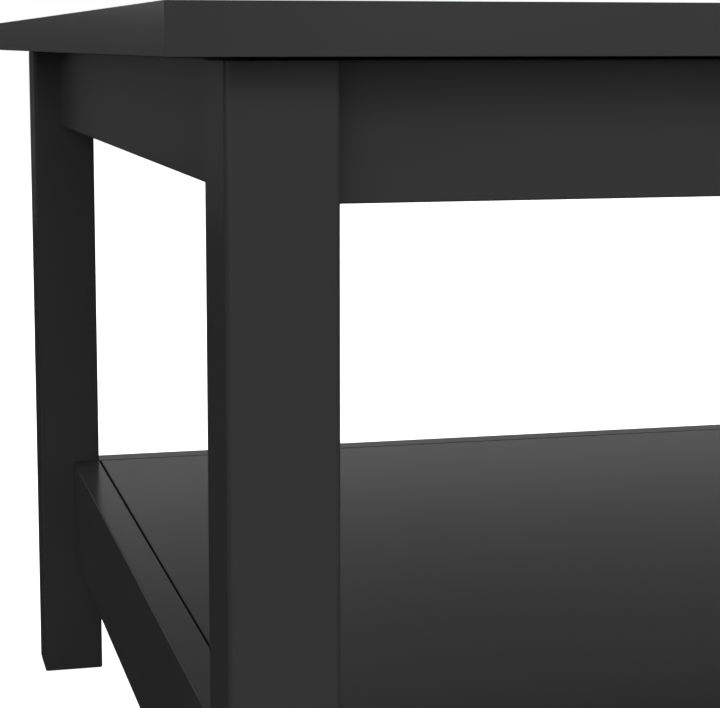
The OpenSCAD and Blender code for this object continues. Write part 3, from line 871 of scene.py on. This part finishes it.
def makeCamBolts():
    c = camBolt
    low, high = solids("cam_bolts")[0]
    size = sorted(high - low)
    length, radius, ease = size[2], size[0] / 2, c["headEase"]
    collar, neck = length * c["collarShare"], radius * c["neckShare"]
    profile = [(0, 0), (ease / 8, radius * 0.5), (ease, radius * 0.92), (c["headEnd"], radius * 0.92),
               (c["headEnd"] + ease, radius * 0.55), (collar - c["collarLong"] - ease / 4, neck),
               (collar - c["collarLong"], radius), (collar, radius)]
    profile += threaded(collar + ease / 2, length - 1.25 * ease, radius, radius * 0.72, screws["pitch"])
    profile += [(length - 0.75 * ease, neck), (length, radius * 0.4), (length, 0)]
    bolts = together([moved(turned(profile, c["sides"]), m) for m in facingIn("cam_bolts")])
    addPiece("cam_bolts_turned", bolts, "zinc", "frame", "cam_bolts")


dowel = {"flutes": 12, "fluteDeep": 0.3 * mm, "taperLong": 1.2 * mm, "tipShare": 0.8}


def makeDowels():
    d = dowel
    low, high = solids("dowels")[0]
    size = sorted(high - low)
    length, radius, sides = size[2], size[0] / 2, d["flutes"] * 4
    radii = [radius - d["fluteDeep"] * (i % 4 == 0) for i in range(sides)]      # every fourth point is lower
    tip, taper = d["tipShare"], d["taperLong"]
    ends = [(0, tip), (taper, 1), (length - taper, 1), (length, tip)]
    verts = [(x, *spoke(i, sides, share * r)) for x, share in ends for i, r in enumerate(radii)]
    faces = [face for k in range(3) for face in band(k * sides, (k + 1) * sides, sides)]
    faces += [tuple(range(sides)), tuple(range(3 * sides, 4 * sides))]
    peg = closedMesh("peg", verts, faces)
    pegs = together([moved(peg, m) for m in facingIn("dowels")])
    addPiece("dowels_fluted", pegs, "woodX", "frame", "dowels")


# upright discs: (share of the height, share of the radius) from the bottom up
padProfile = ((0, 0), (0, 0.975), (0.12, 0.9925), (0.4, 1), (1, 0.997), (1, 0))
bumperProfile = ((0, 0), (0, 1), (0.45, 1), (0.75, 0.94), (0.94, 0.8), (1, 0.55), (1, 0))


def makeDiscs(name, node, profile, sides, finish):
    discs = []
    for low, high in solids(node):
        radius, thick = (high.x - low.x) / 2, high.z - low.z
        place = Vector(((low.x + high.x) / 2, (low.y + high.y) / 2, low.z))
        shape = turned([(h * thick, r * radius) for h, r in profile], sides)
        discs.append(moved(shape, along(place, 2, 1)))
    addPiece(name, together(discs), finish, "frame", node)


makeScrews()
makeCamNuts()
makeCamBolts()
makeDowels()
makeDiscs("foot_pads_felt", "foot_pads", padProfile, 64, "felt")
makeDiscs("lid_bumpers_rubber", "lid_bumpers", bumperProfile, 40, "rubber")
print("fittings ready")


# lift mechanism: drawn for the left side and turned over for the right one
joints = {j["name"]: Vector(j["pos_m"]) for j in frame["joints"]}
rearLow, rearHigh = joints["lift"], joints["lid_level"]
frontLow = joints["front_arm_swing"]
frontHigh = rearHigh + frontLow - rearLow
mechanism = {
    "bendInside": 1.0 * mm,
    "plateCorner": 5.0 * mm,
    "plateEdge": 0.25 * mm,
    "armEdge": 0.45 * mm,
    "pin": 4.0 * mm,
    "bore": 0.05 * mm,          # clearance round a pin
    "washerPlay": 0.04 * mm,    # between a washer and the plates it keeps apart
    "washerEase": 0.15 * mm,
    "pinEase": 0.4 * mm,
    "headDeep": 2.5 * mm,       # domed heads: on the lower pins, and on the upper ones outside and inside
    "capDeep": 1.9 * mm,
    "rivetDeep": 1.5 * mm,
    "rivetIn": 1.0 * mm,        # the inner head is this much smaller in radius
    "headEdge": 0.35 * mm,
    "hookBack": 22.0 * mm,      # the spring's hole in the rear arm, behind its pivot and above it
    "hookUp": 3.0 * mm,
    "hookHole": 1.5 * mm,
    "boltHole": 3.1 * mm,
}


def onSide(x):
    # a plate drawn in the table's Y and Z, standing from x inwards
    return Matrix(((0, 0, 1, x), (1, 0, 0, 0), (0, 1, 0, 0), (0, 0, 0, 1)))


def bothSides(name, mesh, finish, body, left, right):
    addPiece(name + "_left", mesh, finish, body, left)
    addPiece(name + "_right", moved(mesh, flipX), finish, body, right)


def bentPlate(flat, start, ahead, inward, straight, radius):
    # bends a flat plate round a line: its local y runs along ahead, then turns towards inward
    arc, steps = radius * math.pi / 2, 8
    bm = bmesh.new()
    bm.from_mesh(flat)
    for k in range(steps + 1):
        everything = bm.verts[:] + bm.edges[:] + bm.faces[:]
        line = (0, straight + arc * k / steps, 0)
        bmesh.ops.bisect_plane(bm, geom=everything, plane_co=line, plane_no=(0, 1, 0))
    centre = start + ahead * straight + inward * radius
    for v in bm.verts:
        across, s, n = v.co
        if s <= straight:
            p = start + ahead * s + inward * n
        elif s < straight + arc:
            t = (s - straight) / radius
            p = centre + (radius - n) * (ahead * math.sin(t) - inward * math.cos(t))
        else:
            p = centre + (radius - n) * ahead + inward * (s - straight - arc)
        v.co = (p.x, across, p.y)
    bmesh.ops.recalc_face_normals(bm, faces=bm.faces)
    out = bpy.data.meshes.new("bentPlate")
    bm.to_mesh(out)
    bm.free()
    return out


def onLeft(node):
    return [box for box in solids(node) if box[1].x < 0]


def middle(box):
    return (box[0] + box[1]) / 2


def makeBaseBrackets():
    m = mechanism
    lo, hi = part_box("base_bracket_left")
    wallInner = onLeft("lower_washers")[0][0].x
    thick = wallInner - lo.x
    radius = thick + m["bendInside"]
    straight = hi.x - lo.x - radius
    arc = radius * math.pi / 2
    toFlat = straight + arc - lo.z - radius       # from a height on the wall to the flat plate
    top = hi.z + toFlat
    holes = [circle((p.y, p.z + toFlat), m["pin"] + m["bore"]) for p in (rearLow, frontLow)]
    stop = onLeft("stop_pins")[0]
    holes.append(circle((middle(stop).y, middle(stop).z + toFlat), (stop[1].y - stop[0].y) / 2 + m["bore"]))
    for box in onLeft("bracket_screws"):
        hole = (box[1].y - box[0].y) / 2 + woodwork["play"]
        holes.append(circle((middle(box).y, middle(box).z + toFlat), hole, 28))
    sheet = rectangle((lo.y, 0), (hi.y, top), m["plateCorner"])
    flat = prism([sheet] + holes, 0, thick, m["plateEdge"], 2)
    plate = bentPlate(flat, Vector((hi.x, lo.z)), Vector((-1, 0)), Vector((0, 1)), straight, radius)
    bothSides("base_bracket_pressed", plate, "powderCoat", "frame", "base_bracket_left", "base_bracket_right")


def makeLidBrackets():
    m = mechanism
    lo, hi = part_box("lid_bracket_left")
    thick = hi.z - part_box("lid_screws")[0].z
    radius = thick + m["bendInside"]
    straight = hi.z - lo.z - radius
    arc = radius * math.pi / 2
    holes = [circle((p.y, p.z - lo.z), m["pin"] + m["bore"]) for p in (rearHigh, frontHigh)]
    for box in onLeft("lid_screws"):
        hole = (box[1].y - box[0].y) / 2 + woodwork["play"]
        holes.append(circle((middle(box).y, middle(box).x - lo.x - radius + straight + arc), hole, 28))
    sheet = rectangle((lo.y, 0), (hi.y, straight + arc + hi.x - lo.x - radius), m["plateCorner"])
    flat = prism([sheet] + holes, 0, thick, m["plateEdge"], 2)
    plate = bentPlate(flat, Vector((lo.x, lo.z)), Vector((0, 1)), Vector((1, 0)), straight, radius)
    bothSides("lid_bracket_pressed", plate, "powderCoat", "lid", "lid_bracket_left", "lid_bracket_right")


def makeArms():
    m = mechanism
    pairs = (("rear_arm", "rear_arms", rearLow, rearHigh), ("front_arm", "front_arms", frontLow, frontHigh))
    for kind, body, low, high in pairs:
        lo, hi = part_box(kind + "_left")
        loops = [capsule(low.yz, high.yz, (hi.z - lo.z) / 2)]
        loops += [circle(p.yz, m["pin"] + m["bore"]) for p in (low, high)]
        if kind == "rear_arm":
            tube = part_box("cross_tube")
            loops.append(circle((low.y + m["hookBack"], low.z + m["hookUp"]), m["hookHole"], 24))
            loops.append(circle(((tube[0].y + tube[1].y) / 2, low.z), m["boltHole"], 28))
        bar = moved(prism(loops, 0, hi.x - lo.x, m["armEdge"]), onSide(lo.x))
        bothSides(kind + "_bar", bar, "powderCoat", body, kind + "_left", kind + "_right")


def domed(x, radius, height, sign=1):
    # profile of a domed head that stands on x and rises along sign
    edge, steps = mechanism["headEdge"], 6
    turns = [math.pi / 2 * k / steps for k in range(1, steps)]
    rise = [(edge + (height - edge) * math.sin(t), radius * math.cos(t) ** 0.6) for t in turns]
    rise.append((height, 0))
    rim = [(x, radius - edge / 2), (x + sign * edge / 2, radius), (x + sign * edge, radius)]
    return rim + [(x + sign * h, r) for h, r in rise]


def atPivot(profile, pivot, sides=40, hollow=False):
    return moved(turned(profile, sides, hollow), Matrix.Translation((0, pivot.y, pivot.z)))


def makePins():
    m = mechanism
    r, ease, head, cap, rivet = m["pin"], m["pinEase"], m["headDeep"], m["capDeep"], m["rivetDeep"]
    lower, upper, stops = [], [], []
    for box in onLeft("lower_pins_left"):
        a, b, radius = box[0].x, box[1].x, (box[1].y - box[0].y) / 2
        profile = [(a, 0), (a, r - ease), (a + ease, r), (b - head, r)] + domed(b - head, radius, head)
        lower.append(atPivot(profile, middle(box)))
    for box in onLeft("upper_pins_left"):
        a, b, radius = box[0].x, box[1].x, (box[1].y - box[0].y) / 2
        profile = domed(a + cap, radius, cap, -1)[::-1] + [(a + cap, r), (b - rivet, r)]
        upper.append(atPivot(profile + domed(b - rivet, radius - m["rivetIn"], rivet), middle(box)))
    for box in onLeft("stop_pins"):
        a, b, radius = box[0].x, box[1].x, (box[1].y - box[0].y) / 2
        profile = [(a, 0), (a, radius), (b - ease, radius), (b, radius - ease), (b, 0)]
        stops.append(atPivot(profile, middle(box)))
    bothSides("lower_pins_riveted", together(lower), "zinc", "frame", "lower_pins_left", "lower_pins_right")
    bothSides("upper_pins_riveted", together(upper), "zinc", "lid", "upper_pins_left", "upper_pins_right")
    stop = together(stops)
    addPiece("stop_pins_turned", together([stop, moved(stop, flipX)]), "zinc", "frame", "stop_pins")


def makeWashers():
    m = mechanism
    hole, play, ease = m["pin"] + m["bore"], m["washerPlay"], m["washerEase"]
    for node, body in (("lower_washers", "frame"), ("upper_washers", "lid")):
        rings = []
        for box in onLeft(node):
            a, b, radius = box[0].x + play, box[1].x - play, (box[1].y - box[0].y) / 2
            profile = [(a, hole), (a, radius - ease), (a + ease, radius), (b - ease, radius),
                       (b, radius - ease), (b, hole)]
            rings.append(atPivot(profile, middle(box), hollow=True))
        left = together(rings)
        addPiece(node + "_rings", together([left, moved(left, flipX)]), "nylon", body, node)


tubeLook = {
    "wall": 1.5 * mm,
    "ease": 0.3 * mm,
    "plugEase": 1.0 * mm,
}


def makeCrossTube():
    t = tubeLook
    lo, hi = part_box("cross_tube")
    centre, outer, ease = (lo + hi) / 2, (hi.z - lo.z) / 2, t["ease"]
    inner = outer - t["wall"]
    profile = [(lo.x, inner + ease), (lo.x, outer - ease), (lo.x + ease, outer), (hi.x - ease, outer),
               (hi.x, outer - ease), (hi.x, inner + ease), (hi.x - ease, inner), (lo.x + ease, inner)]
    addPiece("cross_tube_drawn", atPivot(profile, centre, 48), "powderCoat", "rear_arms", "cross_tube")
    plug = onLeft("tube_plugs")[0]
    a, b, radius = plug[0].x, plug[1].x, (plug[1].y - plug[0].y) / 2
    hole, ease = mechanism["boltHole"], t["plugEase"]
    profile = [(a, hole), (a, radius), (b - ease, radius), (b, radius - ease), (b, hole)]
    left = atPivot(profile, centre, hollow=True)
    addPiece("tube_plugs_turned", together([left, moved(left, flipX)]), "zinc", "rear_arms", "tube_plugs")


tubeBolt = {
    "headDeep": 2.0 * mm,
    "shank": 2.9 * mm,
    "pitch": 1.0 * mm,
    "threadDeep": 0.35 * mm,
    "plain": 5.0 * mm,            # the shank's length without thread
    "hexAcross": 4.0 * mm,
    "hexDeep": 1.3 * mm,
    # the button head: height over the face and share of its radius
    "head": ((0, 0.62), (0.3 * mm, 0.82), (0.9 * mm, 0.97), (1.4 * mm, 1)),
}


def makeTubeBolts():
    t = tubeBolt
    lo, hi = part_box("cross_tube")
    box = onLeft("tube_bolts")[0]
    a, b, radius = box[0].x, box[1].x, (box[1].y - box[0].y) / 2
    neck, shank, pitch = a + t["headDeep"], t["shank"], t["pitch"]
    profile = [(a, 0)] + [(a + h, radius * share) for h, share in t["head"]] + [(neck, radius), (neck, shank)]
    profile += threaded(neck + t["plain"], b - pitch, shank, shank - t["threadDeep"], pitch)
    profile += [(b - pitch / 2, shank - pitch / 2), (b, shank - 0.8 * pitch), (b, 0)]
    hexRadius = t["hexAcross"] / 2 / math.cos(math.pi / 6)
    floor = a + t["hexDeep"]
    socket = turned([(a - 1 * mm, hexRadius), (floor, hexRadius), (floor + 0.4 * mm, 0)], 6)
    centre = (lo + hi) / 2
    bolt = moved(cutAway(turned(profile, 32), socket), Matrix.Translation((0, centre.y, centre.z)))
    addPiece("tube_bolts_socket", together([bolt, moved(bolt, flipX)]), "zinc", "rear_arms", "tube_bolts")


def smoothRun(points, parts=4):
    # a smooth line through all the points
    out = []
    for i in range(len(points) - 1):
        p = [Vector(points[min(max(k, 0), len(points) - 1)]) for k in (i - 1, i, i + 1, i + 2)]
        for k in range(parts):
            t = k / parts
            out.append(0.5 * (2 * p[1] + (p[2] - p[0]) * t + (2 * p[0] - 5 * p[1] + 4 * p[2] - p[3]) * t * t
                              + (3 * p[1] - p[0] - 3 * p[2] + p[3]) * t ** 3))
    return out + [Vector(points[-1])]


def roundWire(points, radius, sides=12):
    # a round wire along the points, with its ends rounded over
    count = len(points)
    ahead = [(points[min(i + 1, count - 1)] - points[max(i - 1, 0)]).normalized() for i in range(count)]
    side = ahead[0].orthogonal().normalized()
    verts, faces = [], []
    rings = [(points[0] - ahead[0] * radius * 0.4, 0, radius * 0.55)]
    rings += [(points[i], i, radius) for i in range(count)]
    rings += [(points[-1] + ahead[-1] * radius * 0.4, count - 1, radius * 0.55)]
    for place, i, r in rings:
        side = (side - ahead[i] * side.dot(ahead[i])).normalized()
        up = ahead[i].cross(side)
        verts += [place + side * c + up * s for c, s in (spoke(k, sides, r) for k in range(sides))]
    for n in range(len(rings) - 1):
        faces += band(n * sides, (n + 1) * sides, sides)
    faces += [tuple(range(sides)), tuple(range((len(rings) - 1) * sides, len(rings) * sides))]
    return closedMesh("roundWire", verts, faces)


springLook = {
    "wire": 2.2 * mm,
    "coilGap": 1.6 * mm,          # between the pin and the inside of the coil
    "turns": 5.5,
    "armGap": 1.8 * mm,           # from the lower washers to the hook's leg
    "footLeg": 20.0 * mm,
    "footLift": 0.1 * mm,         # over the bracket's flange
}


def makeSprings():
    # the wire lies on the bracket, winds round the lower pin and hooks into a hole in the rear arm
    m, look = mechanism, springLook
    r, leg = look["wire"] / 2, look["footLeg"]
    coilRadius = m["pin"] + look["coilGap"] + r
    washers = onLeft("lower_washers")
    armX = washers[-1][1].x + look["armGap"]
    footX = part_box("spring_left")[1].x - r
    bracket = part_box("base_bracket_left")
    footZ = bracket[0].z + washers[0][0].x - bracket[0].x + r + look["footLift"]
    y, z = rearLow.y, rearLow.z
    steps = round(16 * look["turns"])
    coil = []
    for k in range(steps + 1):
        turn = math.radians(-90) - 2 * math.pi * look["turns"] * k / steps
        x = footX + (armX - footX) * k / steps
        coil.append((x, y + coilRadius * math.cos(turn), z + coilRadius * math.sin(turn)))
    foot = [(footX, y + leg, footZ), (footX, y + 0.6 * leg, footZ + 0.4 * mm),
            (footX, y + 0.2 * leg, z + 0.3 * mm - coilRadius)]
    hookY, hookZ = y + m["hookBack"], z + m["hookUp"]
    hook = [(armX, y + 0.27 * m["hookBack"], z + coilRadius - 0.5 * mm),
            (armX, hookY - 4 * mm, hookZ + 0.8 * mm),
            (armX - 0.6 * mm, hookY - 1 * mm, hookZ + 0.1 * mm), (armX - 2.2 * mm, hookY, hookZ),
            (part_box("rear_arm_left")[0].x + 0.6 * mm, hookY, hookZ)]
    left = roundWire(smoothRun(foot + coil + hook, 3), r)
    for side, mesh, flip in (("left", left, 1), ("right", moved(left, flipX), -1)):
        spring = addPiece("spring_" + side + "_wound", mesh, "springWire", None, "spring_" + side)
        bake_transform(spring)


makeBaseBrackets()
makeLidBrackets()
makeArms()
makePins()
makeWashers()
makeCrossTube()
makeTubeBolts()
makeSprings()
print("lift mechanism ready")
